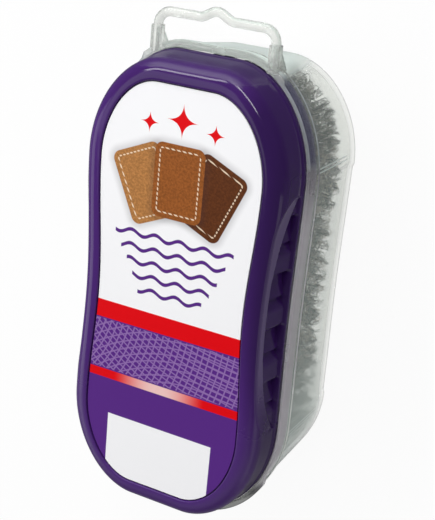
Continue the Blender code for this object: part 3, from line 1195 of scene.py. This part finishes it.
def wander(chance):
    # one curl as steps on a flat sheet, two along it and a share of the depth into it
    angle = chance.uniform(0, 2 * pi)
    bend = chance.choice((-1, 1)) * chance.uniform(*pad["bend"])
    u = v = 0.0
    depth = chance.random()
    dive = chance.uniform(0, 2 * pi)
    path = []
    for i in range(pad["points"]):
        deep = depth + pad["dive"] * sin(dive + i * pad["diveTurn"])
        path.append((u, v, min(max(deep, 0), 1)))
        bend += chance.uniform(-pad["bendDrift"], pad["bendDrift"])
        angle += bend
        u += cos(angle) * pad["step"]
        v += sin(angle) * pad["step"]
    return path


def curlObject(name, finish, paths):
    curve = bpy.data.curves.new(name, "CURVE")
    curve.dimensions = "3D"
    curve.bevel_depth = pad["wire"] / 2 * mm
    curve.bevel_resolution = 0
    curve.use_fill_caps = True
    for path in paths:
        spline = curve.splines.new("POLY")
        spline.points.add(len(path) - 1)
        for point, spot in zip(spline.points, path):
            point.co = (*(spot * mm), 1)
    curve.materials.append(finish)
    place(addObject(name, curve), "sponge_head", "fibre_pad")


def makeSideCurls(name, finish, count, seed, shallowest):
    chance = random.Random(seed)
    track = Track(padOutline)
    margin = pad["wire"] / 2
    paths = []
    for _ in range(count):
        along = chance.uniform(0, track.length)
        up = pad["top"] - (pad["top"] - padLow.z) * chance.random() ** pad["crowd"]
        path = []
        for u, v, deep in wander(chance):
            spot, out = track.at(along + u)
            inward = shallowest + (pad["sideDepth"] - shallowest) * deep
            spot = spot - out * (inward + margin)
            spot.z = min(max(up + v, padLow.z + margin), pad["top"] - margin)
            path.append(spot)
        paths.append(path)
    curlObject(name, finish, paths)


def isOverBase(spot):
    x, y = abs(spot.x), abs(spot.y)
    if x >= padOutline.sideAt(0) - pad["baseSideIn"]:
        return False
    if x <= plan["endFlat"]:
        return y < padHigh.y - pad["baseEndIn"]
    return y < padOutline.grown(-pad["baseSideIn"]).endAt(x)


def makeBaseCurls(name, finish, count, seed):
    chance = random.Random(seed)
    margin = pad["wire"] / 2
    paths = []
    while len(paths) < count:
        x = chance.uniform(-padHigh.x, padHigh.x)
        y = chance.uniform(-padHigh.y, padHigh.y)
        path = [Vector((x + u, y + v, padLow.z + margin + pad["baseDepth"] * deep))
                for u, v, deep in wander(chance)]
        if all(isOverBase(spot) for spot in path):
            paths.append(path)
    curlObject(name, finish, paths)


makeCore()
darkFibre = fibreSurface("dark_fibre", fibreLook["dark"])
paleFibre = fibreSurface("pale_fibre", fibreLook["pale"])
makeSideCurls("side_curls_dark", darkFibre, pad["sideCurls"], pad["seed"], 0.0)
makeSideCurls("side_curls_pale", paleFibre, pad["paleCurls"], pad["seed"] + 1, pad["paleIn"])
makeBaseCurls("base_curls_dark", darkFibre, pad["baseCurls"], pad["seed"] + 2)
makeBaseCurls("base_curls_pale", paleFibre, pad["baseCurls"], pad["seed"] + 3)
print("fibre pad made")

# the studio and the camera are in metres, but the floor dulls between two places in millimetres
studio = {
    "floorHalf": 1.6,
    "floorGap": 0.0003,
    "floorColor": (0.9, 0.9, 0.9, 1),
    "floorGlow": 0.93,
    "dull": (-40.0, 50.0, 0.6, 0.85),
    "air": 0.24,
    "glossyAir": 0.15,
    "horizon": (0.5, 0.2),
    "lampMiddle": (0, 0, 0.03),
    "lampAway": 0.7,
}
lamps = [
    {"name": "key", "from": (-0.5, 0.1, 0.85), "size": (0.45, 0.45), "power": 0.72, "turn": 0},
    {"name": "strip", "from": (-0.45, 0.62, 0.62), "size": (0.42, 0.1), "power": 1.3, "turn": 0},
    {"name": "slant", "from": (0.15, 0.76, 0.63), "size": (0.56, 0.06), "power": 1.6, "turn": -45},
    {"name": "side", "from": (-0.82, -0.38, 0.42), "size": (0.6, 0.34), "power": 0.85, "turn": 0},
    {"name": "end", "from": (-0.3, 0.92, 0.25), "size": (0.7, 0.36), "power": 2.5, "turn": 0},
    {"name": "front", "from": (0.1, -0.75, 0.62), "size": (1.0, 0.35), "power": 0.5, "turn": 0},
    {"name": "fill", "from": (0.8, -0.6, 0.12), "size": (0.6, 0.3), "power": 0.45, "turn": 0},
]


def makeFloor():
    bm = bmesh.new()
    bmesh.ops.create_grid(bm, x_segments=1, y_segments=1, size=studio["floorHalf"])
    bmesh.ops.translate(bm, verts=bm.verts, vec=(0, 0, -studio["floorGap"]))
    finish = Finish("pale_floor", {"Base Color": studio["floorColor"], "Roughness": 1.0,
                                   "Specular IOR Level": 0.0})
    seen, glossy, through = [finish.ray(kind) for kind in ("Camera", "Glossy", "Transmission")]
    glow = finish.node("Emission", {}, {"Color": (1, 1, 1, 1), "Strength": 1.0})
    pale = finish.cover(seen.over(through) * studio["floorGlow"], finish.own, glow)
    # reflections see a duller floor, dullest behind the hanging loop
    y = finish.split(finish.place())[1]
    dull = (glossy - through).over(0) * finish.limits(y, *studio["dull"])
    dark = finish.node("Emission", {}, {"Strength": 0.0})
    finish.show(finish.cover(dull, pale, dark))
    floor = addPiece("floor", bm, finish.material)


def makeLamps():
    for lamp in lamps:
        light = bpy.data.lights.new(lamp["name"], "AREA")
        light.shape = "RECTANGLE"
        light.size, light.size_y = lamp["size"]
        light.energy = lamp["power"]
        lit = addObject(lamp["name"], light)
        direction = Vector(lamp["from"]).normalized()
        lit.location = Vector(studio["lampMiddle"]) + direction * studio["lampAway"]
        turn = direction.to_track_quat("Z", "Y") @ Quaternion((0, 0, 1), radians(lamp["turn"]))
        lit.rotation_euler = turn.to_euler()


def makeWorld():
    world = bpy.data.worlds.new("studio_air")
    world.use_nodes = True
    bpy.context.scene.world = world
    air = Graph(world.node_tree)
    back = air.tree.nodes["Background"]
    back.inputs["Color"].default_value = (1, 1, 1, 1)
    # what shines through glass is white near the horizon and dull higher up
    high, white = studio["horizon"]
    spot = air.node("TexCoord", {}, {}, output="Generated")
    rise = air.node("SeparateXYZ", {}, {0: spot}, output=2)
    low = air.node("MapRange", {}, {0: rise, 1: high, 2: white})
    seen = air.ray("Camera").over(air.ray("Transmission") * low)
    around = air.node("Mix", {}, {0: air.ray("Glossy"), 2: studio["air"], 3: studio["glossyAir"]})
    strength = air.node("Mix", {}, {0: seen, 2: around, 3: 1.0})
    air.tree.links.new(strength.socket, back.inputs["Strength"])


camera = {
    "place": (0.1300, 0.1091, 0.2766),
    "right": (0.8747, 0.0881, -0.4766),
    "up": (-0.2374, 0.9352, -0.2627),
    "back": (0.4226, 0.3429, 0.8390),
    "lens": 84.2,
    "sensor": 36,
    "nearest": 0.01,
}


def makeCamera():
    data = bpy.data.cameras.new("photo_camera")
    data.lens = camera["lens"]
    data.sensor_width = camera["sensor"]
    data.clip_start = camera["nearest"]
    eye = addObject("photo_camera", data)
    turn = Matrix((camera["right"], camera["up"], camera["back"])).transposed()
    eye.matrix_world = Matrix.Translation(camera["place"]) @ turn.to_quaternion().to_matrix().to_4x4()
    bpy.context.scene.camera = eye


makeFloor()
makeLamps()
makeWorld()
makeCamera()
bpy.context.scene.view_settings.view_transform = "Standard"
print("studio made")
